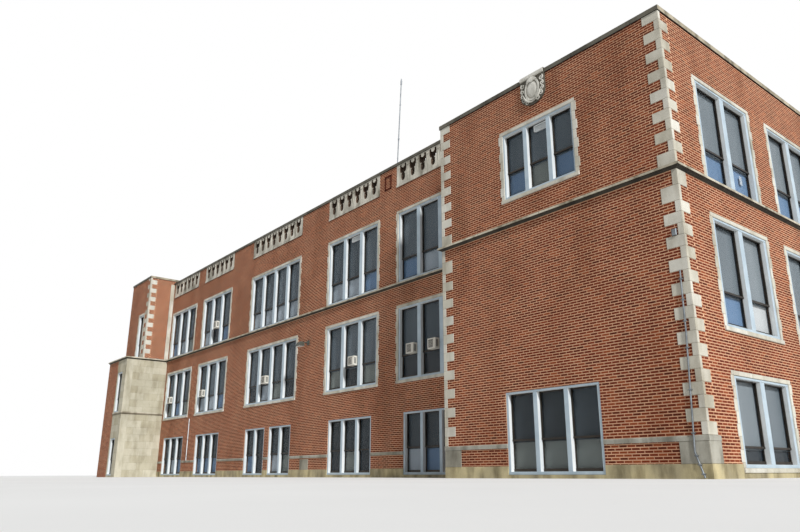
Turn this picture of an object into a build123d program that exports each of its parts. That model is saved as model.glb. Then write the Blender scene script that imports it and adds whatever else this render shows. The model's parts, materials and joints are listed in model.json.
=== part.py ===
from build123d import *
import math
import os

# Three-storey brick school with limestone dressings: an end wing that stands
# forward, a five-bay classroom range beside it, and the first strip of the
# central pavilion, where the model ends at a plain party wall.
# Millimetres, +X to the right along the front, +Y into the building, +Z up.

# Brick and stone coursing
course = 69.85
courses_per_stone = 4
stone_height = course * courses_per_stone
mortar_joint = 6.0

# Plan
wing_width = 8200.0
wing_bays = 4
wing_bay_spacing = 4100.0
wing_depth = 18580.0
wing_end_pier = 1350.0
range_setback = 1550.0
wall_thickness = 400.0
pavilion_width = 3400.0
porch_projection = 920.0

# Piers of the range between its windows, from the pavilion to the wing
range_piers = [260.0, 980.0, 2350.0, 2350.0, 1130.0, 548.0]
range_lights = [3, 3, 4, 3, 3]
pier_between_pair = 435.0

# Storeys, floors and roofs
ground_slab = 90.0
second_floor_level = 2550.0
third_floor_level = 6370.0
floor_slab = 220.0
roof_level = 10850.0
roof_slab = 300.0

# Courses of stone that run round the building
plinth_top = 310.0
plinth_proud = 15.0
band_bottom = 780.0
band_top = 895.0
band_proud = 22.0
string_bottom = 6990.0
string_top = 7135.0
string_proud = 120.0
string_fascia = 60.0
string_weathering = 30.0
string_cavetto_depth = 65.0
string_cavetto_height = 12.0
string_bead_depth = 36.0
string_bead_height = 10.0
stone_bed = 100.0
stone_proud = 10.0

# Wall tops and copings
wing_wall_top = 11350.0
wing_coping_height = 130.0
parapet_sill = 11100.0
range_wall_top = 12050.0
range_coping_height = 120.0
pavilion_wall_top = 12300.0
coping_overhang = 40.0
coping_fall = 25.0

# Corner stones
base_block_front = 680.0
base_block_side = 500.0
base_block_bed = 120.0
quoin_long_front = 450.0
quoin_short_front = 130.0
quoin_long_side = 390.0
quoin_short_side = 90.0
tall_quoin = 334.0
lower_quoins = 19
upper_quoins = 13
small_block_width = 680.0
small_block_height = 430.0
small_block_offset = 210.0

# Window frames, glass and stone surrounds
frame_setback = 20.0
frame_depth = 145.0
frame_head = 60.0
frame_foot = 80.0
glass_thickness = 12.0
glass_clearance = 5.0
jamb = 115.0
head_stone = 110.0
sill_stone = 100.0
sill_proud = 40.0
surround_depth = 200.0

# Range windows
range_light = 1007.0
range_mullion = 200.0
range_side_bar = 80.0
range_second_sill = 3310.0
range_second_head = 6245.0
range_third_head = 10080.0
range_ground_light = 850.0
range_ground_mullion = 143.0
range_ground_side_bar = 77.0
range_ground_sill = 100.0
range_ground_head = 2250.0

# Wing windows, front and right side
front_light = 730.0
front_mullion = 145.0
front_side_bar = 55.0
front_third_sill = 7780.0
front_third_head = 10100.0
front_third_offset = 4110.0
front_ground_light = 880.0
front_ground_mullion = 140.0
front_ground_side_bar = 86.0
front_ground_sill = 90.0
front_ground_head = 2265.0
front_ground_offset = 4160.0
side_light = 1203.0
side_mullion = 214.0
side_side_bar = 120.0
side_ground_sill = 120.0
side_ground_head = 2375.0
side_second_sill = 3300.0
side_second_head = 6240.0
side_third_head = 10060.0

# Pavilion
pavilion_light = 660.0
pavilion_side_bar = 80.0
pavilion_window_offset = 1060.0
porch_stone_width = 1600.0
pavilion_moulding_bottom = 3640.0
pavilion_moulding_top = 3800.0
moulding_proud = 45.0
moulding_foot_proud = 20.0
moulding_face = 70.0
strip_width = 240.0
strip_proud = 35.0

# Pierced parapet panels
parapet_thickness = 300.0
panel_base_rail = 205.0
panel_head_rail = 30.0
panel_end_stone = 100.0
panel_rail_height = 85.0
panel_rail_proud = 35.0
openings_per_light = 2
foot_radius = 115.0
cusp_height = 320.0
cusp_rise = 40.0
cusp_gap = 130.0
neck_gap = 400.0
eye_radius = 55.0
drop_length = 115.0
drop_knob = 12.0
foot_facets = 2
curve_facets = 2
eye_facets = 3

# Cartouche on the wing's parapet
cartouche_offset = 4100.0
cartouche_width = 910.0
cartouche_bottom = 10500.0
cartouche_shoulder = 10860.0
cartouche_back_proud = 55.0
cartouche_ring_proud = 80.0
shield_edge_proud = 66.0
shield_proud = 84.0
shield_crown = 0.6
cartouche_oval_centre = 10985.0
ring_width = 560.0
ring_height = 720.0
ring_bar = 60.0
shield_gap = 14.0
oval_facets = 20
crest_radius = 210.0
crest_proud = 95.0
crest_start = 20.0
crest_overlap = 40.0
volute_radius = 75.0
volute_proud = 90.0
volute_spread = 190.0
volute_level = 10715.0
small_facets = 10
cap_width = 880.0
cap_neck_proud = 60.0
cap_proud = 100.0
cap_neck_height = 20.0
cap_curve_height = 25.0
cap_face_height = 75.0
cap_slope_height = 50.0
cap_depth = 200.0

# Fittings
cooler_width = 420.0
cooler_height = 370.0
cooler_reach = 295.0
cooler_above_frame = 900.0
cooler_to_jamb = 60.0
# Bay, counted from the pavilion, and light of each air conditioner, counted from zero
second_floor_coolers = [(4, 0), (4, 1), (3, 1), (2, 1), (1, 0), (0, 0)]
third_floor_coolers = [(1, 1)]
mast_height = 5700.0
mast_lean = 3.7
mast_radius = 22.0
mast_foot_size = 260.0
mast_foot_height = 40.0
mast_to_parapet = 200.0
mast_past_bay = 890.0
lamp_level = 5750.0
lamp_offset = 225.0
lamp_plate = 200.0
lamp_plate_thickness = 20.0
lamp_arm_reach = 420.0
lamp_arm_size = 45.0
lamp_width = 380.0
lamp_depth = 260.0
lamp_height = 170.0
lamp_top_depth = 130.0

range_back = wing_depth - range_setback


class Window:
    """Sizes of one kind of window; stone is False where brick meets the frame."""

    def __init__(self, lights, light, mullion, side_bar, bottom, top, stone=True, sill=sill_stone):
        self.lights = lights
        self.light = light
        self.mullion = mullion
        self.side_bar = side_bar
        self.bottom = bottom
        self.top = top
        self.stone = stone
        self.sill = sill if stone else 0.0
        self.head = head_stone if stone else 0.0
        self.jamb = jamb if stone else 0.0

    @property
    def frame_width(self):
        return self.lights * self.light + (self.lights - 1) * self.mullion + 2 * self.side_bar

    @property
    def width(self):
        return self.frame_width + 2 * self.jamb

    @property
    def frame_bottom(self):
        return self.bottom + self.sill

    @property
    def frame_top(self):
        return self.top - self.head


def range_ground_window(lights):
    bars = (range_ground_light, range_ground_mullion, range_ground_side_bar)
    return Window(lights, *bars, range_ground_sill, range_ground_head, stone=False)


def range_second_window(lights):
    return Window(lights, range_light, range_mullion, range_side_bar, range_second_sill, range_second_head)


def range_third_window(lights):
    return Window(lights, range_light, range_mullion, range_side_bar, string_top, range_third_head, sill=0.0)


front_ground_window = Window(
    3, front_ground_light, front_ground_mullion, front_ground_side_bar,
    front_ground_sill, front_ground_head, stone=False)
front_third_window = Window(3, front_light, front_mullion, front_side_bar, front_third_sill, front_third_head)
side_ground_window = Window(2, side_light, side_mullion, side_side_bar, side_ground_sill, side_ground_head)
side_second_window = Window(2, side_light, side_mullion, side_side_bar, side_second_sill, side_second_head)
side_third_window = Window(2, side_light, side_mullion, side_side_bar, string_top, side_third_head, sill=0.0)
pavilion_ground_window = Window(
    1, pavilion_light, 0.0, pavilion_side_bar, range_ground_sill, range_ground_head, stone=False)
pavilion_second_window = Window(
    1, pavilion_light, 0.0, pavilion_side_bar, pavilion_moulding_top, range_second_head, stone=False)
pavilion_third_window = Window(
    1, pavilion_light, 0.0, pavilion_side_bar, string_top, range_third_head, sill=0.0)

bay_widths = [range_second_window(count).width for count in range_lights]
range_length = sum(range_piers) + sum(bay_widths)
range_left = -wing_width - range_length
left_end = range_left - pavilion_width
origin_x = (left_end + string_proud) / 2
origin_y = (wing_depth - porch_projection) / 2

nodes = {}


def add(name, *shapes):
    """Collects the solids of one named piece."""
    for shape in shapes:
        nodes.setdefault(name, []).extend(shape.solids())


def block(x0, x1, y0, y1, z0, z1):
    """A box given by its two corners."""
    centre = ((x0 + x1) / 2, (y0 + y1) / 2, (z0 + z1) / 2)
    return Pos(*centre) * Box(x1 - x0, y1 - y0, z1 - z0)


def upright_prism(points, depth_from, depth_to):
    """A shape drawn on the facade as u, z points and given depth."""
    face = Plane.XZ * make_face(Polyline(*points, close=True))
    return Pos(0, depth_to, 0) * extrude(face, depth_to - depth_from)


def arc_points(centre, radii, start, end, facets):
    """Points along an oval arc from one angle to another, in degrees, cut in flat facets."""
    points = []
    for index in range(facets + 1):
        angle = math.radians(start + (end - start) * index / facets)
        points.append((centre[0] + radii[0] * math.cos(angle), centre[1] + radii[1] * math.sin(angle)))
    return points


class Facade:
    """An outer wall face. On it u runs to the right as seen from outside and depth runs inwards."""

    def __init__(self, corner_x, corner_y, turn, length):
        self.place = Location((corner_x, corner_y, 0), (0, 0, turn))
        self.length = length
        self.windows = []

    def window(self, centre, kind):
        self.windows.append((centre, kind))

    def put(self, shape):
        return self.place * shape


# Facades of the wing, the range and the pavilion
wing_front = Facade(-wing_width, 0, 0, wing_width)
wing_right = Facade(0, 0, 90, wing_depth)
wing_rear = Facade(0, wing_depth, 180, wing_width)
wing_left = Facade(-wing_width, wing_depth, -90, wing_depth)
left_front_return = Facade(-wing_width, range_setback, -90, range_setback)
left_rear_return = Facade(-wing_width, wing_depth, -90, range_setback)
range_front = Facade(range_left, range_setback, 0, range_length)
range_rear = Facade(-wing_width, range_back, 180, range_length + pavilion_width)
porch_front = Facade(left_end, -porch_projection, 0, pavilion_width)
porch_side = Facade(range_left, -porch_projection, 90, porch_projection + range_setback)
pavilion_front = Facade(left_end, 0, 0, pavilion_width)
pavilion_side = Facade(range_left, 0, 90, range_back - wall_thickness)
wing_facades = (wing_front, wing_right, wing_rear)
range_facades = (range_front, range_rear)


def bay_centres():
    """Centres of the range's five bays, from its pavilion end."""
    centres = []
    u = 0.0
    for pier, width in zip(range_piers, bay_widths):
        centres.append(u + pier + width / 2)
        u += pier + width
    return centres


def fitting_pier_centre():
    """Middle of the pier between the second and third bay from the wing."""
    return bay_centres()[3] - bay_widths[3] / 2 - range_piers[3] / 2


def ground_windows(centre, lights):
    """A four-light bay has two two-light windows on its ground storey."""
    if lights < 4:
        return [(centre, range_ground_window(lights))]
    kind = range_ground_window(lights // 2)
    offset = (kind.width + pier_between_pair) / 2
    return [(centre - offset, kind), (centre + offset, kind)]


def place_windows():
    """Sets out every window on its facade."""
    for centre, lights in zip(bay_centres(), range_lights):
        upper = (range_second_window(lights), range_third_window(lights))
        for place, kind in ground_windows(centre, lights):
            range_front.window(place, kind)
            range_rear.window(range_length - place, kind)
        for kind in upper:
            range_front.window(centre, kind)
            range_rear.window(range_length - centre, kind)
    wing_front.window(wing_width - front_ground_offset, front_ground_window)
    wing_front.window(wing_width - front_third_offset, front_third_window)
    wing_rear.window(front_ground_offset, front_ground_window)
    wing_rear.window(front_third_offset, front_third_window)
    for bay in range(wing_bays):
        centre = wing_end_pier + side_second_window.width / 2 + bay * wing_bay_spacing
        for kind in (side_ground_window, side_second_window, side_third_window):
            wing_right.window(centre, kind)
    centre = pavilion_width - pavilion_window_offset
    porch_front.window(centre, pavilion_ground_window)
    porch_front.window(centre, pavilion_second_window)
    pavilion_front.window(centre, pavilion_third_window)


def stone_opening(centre, kind, depth_from, depth_to):
    half = kind.width / 2
    return block(centre - half, centre + half, depth_from, depth_to, kind.bottom, kind.top)


def frame_opening(centre, kind, depth_from, depth_to):
    half = kind.frame_width / 2
    return block(centre - half, centre + half, depth_from, depth_to, kind.frame_bottom, kind.frame_top)


def surround(centre, kind):
    """Stone head, jambs and projecting sill round one window."""
    stone = stone_opening(centre, kind, -stone_proud, surround_depth)
    if kind.sill:
        half = kind.width / 2
        stone += block(centre - half, centre + half, -sill_proud, 0, kind.bottom, kind.bottom + kind.sill)
    return stone - frame_opening(centre, kind, -sill_proud, surround_depth)


def window_frame(centre, kind):
    """Deep white frame with its mullions, one clear light between each two."""
    half = kind.frame_width / 2
    back = frame_setback + frame_depth
    frame = frame_opening(centre, kind, frame_setback, back)
    low = kind.frame_bottom + frame_foot
    high = kind.frame_top - frame_head
    lights = []
    for light in range(kind.lights):
        u = centre - half + kind.side_bar + light * (kind.light + kind.mullion)
        lights.append(block(u, u + kind.light, frame_setback, back, low, high))
    return frame - lights


def window_glass(centre, kind):
    """One sheet behind the frame closes all its lights."""
    half = kind.frame_width / 2 - glass_clearance
    front = frame_setback + frame_depth
    low = kind.frame_bottom + glass_clearance
    high = kind.frame_top - glass_clearance
    return block(centre - half, centre + half, front, front + glass_thickness, low, high)


def cut_windows(wall, facade):
    """Cuts the wall for each window and beds its stones."""
    cuts = []
    for centre, kind in facade.windows:
        cuts.append(facade.put(frame_opening(centre, kind, 0, wall_thickness)))
        if kind.stone:
            cuts.append(facade.put(stone_opening(centre, kind, 0, surround_depth)))
    return wall - cuts if cuts else wall


def add_windows(facade, frames, glass, surrounds):
    for centre, kind in facade.windows:
        add(frames, facade.put(window_frame(centre, kind)))
        add(glass, facade.put(window_glass(centre, kind)))
        if kind.stone:
            add(surrounds, facade.put(surround(centre, kind)))


outer = 1
inner = -1


def course_run(facade, profile, start, end, mitre_start=0, mitre_end=0, joint=0.0):
    """A stone course along a facade; profile holds depth, z points. Ends are square or mitred to a corner."""
    reach = 2 * max(abs(point[0]) for point in profile)
    face = Plane.YZ * make_face(Polyline(*profile, close=True))
    bar = Pos(start - reach, 0, 0) * extrude(face, end - start + 2 * reach)
    low = min(point[1] for point in profile)
    high = max(point[1] for point in profile)
    first = start + abs(mitre_start) * joint / 2
    last = end - abs(mitre_end) * joint / 2
    plan = [
        (first - mitre_start * reach, -reach),
        (last + mitre_end * reach, -reach),
        (last, 0),
        (last - max(mitre_end, 0) * reach, reach),
        (first + max(mitre_start, 0) * reach, reach),
        (first, 0),
    ]
    keep = Pos(0, 0, low) * extrude(make_face(Polyline(*plan, close=True)), high - low)
    return facade.put(bar & keep)


plinth_profile = [
    (-plinth_proud, 0),
    (stone_bed, 0),
    (stone_bed, plinth_top),
    (0, plinth_top),
    (-plinth_proud, plinth_top - plinth_proud),
]
band_profile = [
    (-band_proud, band_bottom),
    (stone_bed, band_bottom),
    (stone_bed, band_top),
    (0, band_top),
    (-band_proud, band_top - band_proud),
]


def string_profile():
    """Moulded course: sloping top, upright fascia, and steps drawn in below it."""
    fascia_top = string_top - string_weathering
    fascia_bottom = fascia_top - string_fascia
    return [
        (0, string_top),
        (-string_proud, fascia_top),
        (-string_proud, fascia_bottom),
        (-string_cavetto_depth, fascia_bottom - string_cavetto_height),
        (-string_bead_depth, string_bottom + string_bead_height),
        (0, string_bottom),
        (stone_bed, string_bottom),
        (stone_bed, string_top),
    ]


def coping_profile(low, height, thickness):
    """Weathered coping over a wall of the given thickness."""
    return [
        (-coping_overhang, low),
        (thickness + coping_overhang, low),
        (thickness + coping_overhang, low + height - coping_fall),
        (-coping_overhang, low + height),
    ]


def quoin_stones():
    """Bottom, top and long-on-front flag of each corner stone, below and above the string course."""
    stones = []
    z = band_top
    tall_below = (string_bottom - band_top - lower_quoins * stone_height) / 2
    for index, height in enumerate([stone_height] * lower_quoins + [tall_below] * 2):
        stones.append((z, z + height, index % 2 == 1))
        z += height
    z = string_top
    top_stone = wing_wall_top - string_top - tall_quoin - upper_quoins * stone_height
    for index, height in enumerate([tall_quoin] + [stone_height] * upper_quoins + [top_stone]):
        stones.append((z, z + height, index % 2 == 0))
        z += height
    return stones


def stacked_corner(stones, proud):
    """Alternate stones up a corner where u and depth are zero, long on the front or long on the side."""
    column = []
    for low, high, long_front in stones:
        along = quoin_long_front if long_front else quoin_short_front
        back = quoin_short_side if long_front else quoin_long_side
        column.append(block(-along, proud, -proud, back, low, high))
    return column[0] + column[1:]


def plain_corner(low, high, proud):
    """Corner stones all alike, as at the back of the wing."""
    column = block(-quoin_long_front, proud, -proud, quoin_short_side, low, high)
    return column + block(-quoin_short_front, proud, -proud, quoin_long_side, low, high)


def corner_quoins(proud):
    """Quoins at the wing's four corners, cut in two by the string course."""
    columns = []
    for low, high in ((band_top, string_bottom), (string_top, wing_wall_top)):
        stones = [stone for stone in quoin_stones() if stone[0] >= low and stone[1] <= high]
        front = stacked_corner(stones, proud)
        rear = Pos(0, wing_depth, 0) * plain_corner(low, high, proud).mirror(Plane.XZ)
        for column in (front, rear):
            columns.append(column)
            columns.append(Pos(-wing_width, 0, 0) * column.mirror(Plane.YZ))
    return columns


def base_block(mirror, rear, proud):
    """Stone at the foot of a corner, between plinth and band course."""
    stone = block(-base_block_front, proud, -proud, base_block_bed, plinth_top, band_bottom)
    stone += block(-base_block_bed, proud, -proud, base_block_side, plinth_top, band_bottom)
    if mirror:
        stone = stone.mirror(Plane.YZ)
    if rear:
        stone = stone.mirror(Plane.XZ)
    return Pos(-wing_width if mirror else 0, wing_depth if rear else 0, 0) * stone


def base_blocks(proud):
    return [base_block(mirror, rear, proud) for mirror in (False, True) for rear in (False, True)]


def small_base_block(proud):
    """Single stone in the base of the pier between the second and third bay from the wing."""
    centre = fitting_pier_centre() - small_block_offset
    half = small_block_width / 2
    top = plinth_top + small_block_height
    return range_front.put(block(centre - half, centre + half, -proud, stone_bed, plinth_top, top))


def wing_courses(profile, joint=0.0):
    """A course round the wing; the band stops at the base blocks on the right side."""
    right = [(0, wing_depth, outer, outer)]
    if profile is band_profile:
        right = [(0, base_block_side, outer, 0), (wing_depth - base_block_side, wing_depth, 0, outer)]
    return [
        course_run(wing_front, profile, 0, wing_width, outer, outer, joint),
        course_run(wing_rear, profile, 0, wing_width, outer, outer, joint),
        course_run(left_front_return, profile, 0, range_setback, inner, outer, joint),
        course_run(left_rear_return, profile, 0, range_setback, outer, inner, joint),
    ] + [course_run(wing_right, profile, *run, joint) for run in right]


def range_courses(profile, pavilion_end=0, joint=0.0):
    """A course along the front and back of the range, from the pavilion to the wing."""
    return [
        course_run(range_front, profile, 0, range_length, pavilion_end, inner, joint),
        course_run(range_rear, profile, 0, range_rear.length, inner, 0, joint),
    ]


def clear_of_windows(run, facades):
    """Cuts a course where window frames pass through it."""
    low = run.bounding_box().min.Z
    high = run.bounding_box().max.Z
    cuts = []
    for facade in facades:
        for centre, kind in facade.windows:
            opening = stone_opening if kind.stone else frame_opening
            if kind.bottom < high and kind.top > low:
                cuts.append(facade.put(opening(centre, kind, -string_proud, wall_thickness)))
    return run - cuts


def stone_beds():
    """Everything of stone that is let into the faces of the brick walls."""
    wing_beds = corner_quoins(0.0) + base_blocks(0.0)
    range_beds = [small_base_block(0.0)]
    for profile in (plinth_profile, band_profile, string_profile()):
        wing_beds += wing_courses(profile)
        range_beds += range_courses(profile)
    return wing_beds, range_beds


def cut_beds(wall, beds):
    """Beds those stones in the wall that reach it."""
    box = wall.bounding_box()
    near = []
    for bed in beds:
        other = bed.bounding_box()
        apart = (
            other.min.X >= box.max.X or other.max.X <= box.min.X
            or other.min.Y >= box.max.Y or other.max.Y <= box.min.Y
        )
        if not apart:
            near.append(bed)
    return wall - near if near else wall


def build_walls():
    wing_beds, range_beds = stone_beds()
    t = wall_thickness
    front = wing_front.put(block(0, wing_width, 0, t, 0, wing_wall_top))
    right = wing_right.put(block(t, wing_depth - t, 0, t, 0, wing_wall_top))
    rear = wing_rear.put(block(0, wing_width, 0, t, 0, wing_wall_top))
    returns = block(-wing_width, t - wing_width, t, range_setback + t, 0, wing_wall_top)
    returns_rear = block(-wing_width, t - wing_width, range_back - t, wing_depth - t, 0, wing_wall_top)
    add("wing_front_wall", cut_beds(cut_windows(front, wing_front), wing_beds))
    add("wing_right_wall", cut_beds(cut_windows(right, wing_right), wing_beds))
    add("wing_back_wall", cut_beds(cut_windows(rear, wing_rear), wing_beds))
    add("wing_left_returns", cut_beds(returns, wing_beds), cut_beds(returns_rear, wing_beds))
    inner_low = range_setback + t
    inner_high = range_back - t
    parapet = block(-wing_width, t - wing_width, inner_low, inner_high, roof_level, wing_wall_top)
    add("wing_left_parapet", parapet)
    long_front = range_front.put(block(0, range_length, 0, t, 0, parapet_sill))
    long_rear = range_rear.put(block(0, range_rear.length, 0, t, 0, range_wall_top))
    add("range_front_wall", cut_beds(cut_windows(long_front, range_front), range_beds))
    add("range_back_wall", cut_beds(cut_windows(long_rear, range_rear), range_beds))


def opening_outline(centre, low, high):
    """Edge of one parapet opening: a round foot, a pair of cusps, a wide neck, and two eyes beside a drop."""
    cusp = cusp_gap / 2
    neck = neck_gap / 2
    cusp_level = low + cusp_height
    eye_level = high - eye_radius
    drop_half = neck - 2 * eye_radius
    shoulder = neck - cusp
    foot_centre = (0, low + foot_radius)
    side = arc_points(foot_centre, (foot_radius, foot_radius), -90, 0, foot_facets)[1:]
    side.append((foot_radius, cusp_level - cusp_rise))
    side += arc_points((cusp, cusp_level + shoulder), (shoulder, shoulder), -90, 0, curve_facets)
    side += arc_points((neck - eye_radius, eye_level), (eye_radius, eye_radius), 0, 180, eye_facets)
    side.append((drop_half + drop_knob, eye_level - drop_length / 2))
    right = [(centre + u, z) for u, z in side]
    left = [(centre - u, z) for u, z in reversed(side)]
    return [(centre, low)] + right + [(centre, eye_level - drop_length)] + left


def pierced_panel(width, count):
    """Stone panel with a row of cusped openings that leave flat, waisted balusters."""
    half = width / 2
    low = parapet_sill + panel_base_rail
    high = range_wall_top - panel_head_rail
    outer = [(-half, parapet_sill), (half, parapet_sill), (half, range_wall_top), (-half, range_wall_top)]
    face = make_face(Polyline(*outer, close=True))
    pitch = (width - 2 * panel_end_stone) / count
    holes = []
    for index in range(count):
        centre = panel_end_stone - half + (index + 0.5) * pitch
        holes.append(make_face(Polyline(*opening_outline(centre, low, high), close=True)))
    depth = parapet_thickness + stone_proud
    slab = Pos(0, parapet_thickness, 0) * extrude(Plane.XZ * (face - holes), depth)
    rail = block(-half, half, -panel_rail_proud, 0, parapet_sill, parapet_sill + panel_rail_height)
    return slab + rail


def build_parapet():
    """Brick piers and pierced stone panels above the range's front."""
    u = 0.0
    for index, pier in enumerate(range_piers):
        shape = block(u, u + pier, 0, parapet_thickness, parapet_sill, range_wall_top)
        add("range_parapet_piers", range_front.put(shape))
        u += pier
        if index < len(bay_widths):
            width = bay_widths[index]
            panel = pierced_panel(width, openings_per_light * range_lights[index])
            add(f"parapet_panel_{len(bay_widths) - index}", range_front.put(Pos(u + width / 2, 0, 0) * panel))
            u += width


def build_courses():
    for name, profile in (("plinth", plinth_profile), ("band_course", band_profile)):
        for run in wing_courses(profile, mortar_joint):
            add(name, clear_of_windows(run, wing_facades))
        for run in range_courses(profile, joint=mortar_joint):
            add(name, clear_of_windows(run, range_facades))
    add("string_course", *wing_courses(string_profile(), mortar_joint))
    add("string_course", *range_courses(string_profile(), inner, mortar_joint))
    add("base_blocks", *base_blocks(stone_proud), small_base_block(stone_proud))
    add("wing_quoins", *corner_quoins(stone_proud))


def build_copings():
    t = wall_thickness
    profile = coping_profile(wing_wall_top, wing_coping_height, t)
    runs = [
        course_run(facade, profile, 0, facade.length, outer, outer, mortar_joint)
        for facade in (wing_front, wing_right, wing_rear, wing_left)
    ]
    for low in (range_setback, range_back - t):
        runs[3] -= block(-wing_width - t, -wing_width, low, low + t, wing_wall_top, range_wall_top)
    runs[0] -= cap_seat()
    add("wing_coping", *runs)
    front_profile = coping_profile(range_wall_top, range_coping_height, parapet_thickness)
    rear_profile = coping_profile(range_wall_top, range_coping_height, t)
    rear = course_run(range_rear, rear_profile, 0, range_rear.length)
    for wall_x in (left_end, range_left - t):
        rear -= block(wall_x, wall_x + t, range_setback, range_back - t, range_wall_top, pavilion_wall_top)
    add("range_coping", course_run(range_front, front_profile, 0, range_length), rear)
    profile = coping_profile(pavilion_wall_top, range_coping_height, t)
    add("pavilion_coping", course_run(pavilion_front, profile, 0, pavilion_width, 0, outer, mortar_joint))
    side = course_run(pavilion_side, profile, 0, pavilion_side.length, outer, 0, mortar_joint)
    add("pavilion_coping", side)


def cap_profile():
    """Moulded cap of the cartouche: neck, hollow, upright face and sloping top."""
    neck_top = wing_wall_top + cap_neck_height
    face_bottom = neck_top + cap_curve_height
    face_top = face_bottom + cap_face_height
    cap_top = face_top + cap_slope_height
    return [
        (-cap_neck_proud, wing_wall_top),
        (-cap_neck_proud, neck_top),
        (-cap_proud, face_bottom),
        (-cap_proud, face_top),
        (-cap_neck_proud, cap_top),
        (cap_depth, cap_top),
        (cap_depth, wing_wall_top),
    ]


def cap_seat():
    """Space in the coping where the cartouche's cap stands up through it."""
    u = wing_width - cartouche_offset
    half = cap_width / 2
    top = wing_wall_top + wing_coping_height
    return wing_front.put(block(u - half, u + half, -cap_proud, cap_depth, wing_wall_top, top))


def oval(centre, width, height):
    return arc_points(centre, (width / 2, height / 2), 0, 360, oval_facets)[:-1]


def domed_shield(centre, width, height):
    """Oval shield that swells from its edge to a flat crown, in flat facets."""
    steps = ((1, cartouche_back_proud), (1, shield_edge_proud), (shield_crown, shield_proud))
    rings = []
    for share, proud in steps:
        rings.append([(u, -proud, z) for u, z in oval(centre, width * share, height * share)])
    facets = [make_face(Polyline(*ring, close=True)) for ring in (rings[0], rings[-1])]
    for lower, upper in zip(rings, rings[1:]):
        for index in range(oval_facets):
            corners = (lower[index - 1], lower[index], upper[index], upper[index - 1])
            facets.append(make_face(Polyline(*corners, close=True)))
    return Solid(Shell(facets))


def build_cartouche():
    """Oval shield in a ring on a backing stone, with crest and volutes, under a moulded cap."""
    u = wing_width - cartouche_offset
    half = cartouche_width / 2
    drop = cartouche_shoulder - cartouche_bottom
    backing = [(u - half, wing_wall_top)]
    backing += arc_points((u, cartouche_shoulder), (half, drop), 180, 360, small_facets)
    backing.append((u + half, wing_wall_top))
    centre = (u, cartouche_oval_centre)
    inner_width = ring_width - 2 * ring_bar
    inner_height = ring_height - 2 * ring_bar
    ring = upright_prism(oval(centre, ring_width, ring_height), -cartouche_ring_proud, 0)
    hollow = oval(centre, inner_width, inner_height)
    ring -= upright_prism(hollow, -cartouche_ring_proud, -cartouche_back_proud)
    radii = (crest_radius, crest_radius)
    crest_centre = (u, wing_wall_top - crest_radius + crest_overlap)
    crest = arc_points(crest_centre, radii, crest_start, 180 - crest_start, small_facets)
    cap_face = Plane.YZ * make_face(Polyline(*cap_profile(), close=True))
    pieces = [
        ring,
        domed_shield(centre, inner_width - 2 * shield_gap, inner_height - 2 * shield_gap),
        upright_prism(crest, -crest_proud, 0),
        Pos(u - cap_width / 2, 0, 0) * extrude(cap_face, cap_width),
    ]
    for side in (-1, 1):
        place = (u + side * volute_spread, volute_level)
        disc = arc_points(place, (volute_radius, volute_radius), 0, 360, small_facets)[:-1]
        pieces.append(upright_prism(disc, -volute_proud, 0))
    stone = upright_prism(backing, -cartouche_back_proud, 0) + pieces
    add("cartouche", wing_front.put(stone))


def build_floors():
    t = wall_thickness
    wing_x = (t - wing_width, -t)
    wing_y = (t, wing_depth - t)
    long_x = (left_end + t, t - wing_width)
    long_y = (range_setback + t, range_back - t)
    tops = ((ground_slab, ground_slab), (second_floor_level, floor_slab), (third_floor_level, floor_slab))
    front_x = (left_end + t, range_left - t)
    porch_y = (t - porch_projection, range_setback + t)
    for level, thickness in tops:
        add("wing_floors", block(*wing_x, *wing_y, level - thickness, level))
        add("range_floors", block(*long_x, *long_y, level - thickness, level))
        add("pavilion_floors", block(*front_x, *porch_y, level - thickness, level))
    add("wing_roof", block(*wing_x, *wing_y, roof_level - roof_slab, roof_level))
    add("range_roof", block(*long_x, *long_y, roof_level - roof_slab, roof_level))
    add("pavilion_roof", block(*front_x, t, range_setback + t, roof_level - roof_slab, roof_level))


def stone_levels(low, high):
    """Equal stones from one level to another, long on the front in turn, the last one cut to fit."""
    levels = []
    z = low
    while z < high:
        top = min(z + stone_height, high)
        levels.append((z, top, len(levels) % 2 == 0))
        z = top
    return levels


def pavilion_corner(proud):
    """Stones up the front corner of the pavilion's brick block."""
    return Pos(range_left, 0, 0) * stacked_corner(stone_levels(string_top, pavilion_wall_top), proud)


def junction_strip(proud):
    """Upright stone strip where the pavilion's side meets the range."""
    strip = block(range_setback - strip_width, range_setback, -proud, stone_bed, string_top, range_wall_top)
    return pavilion_side.put(strip)


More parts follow.
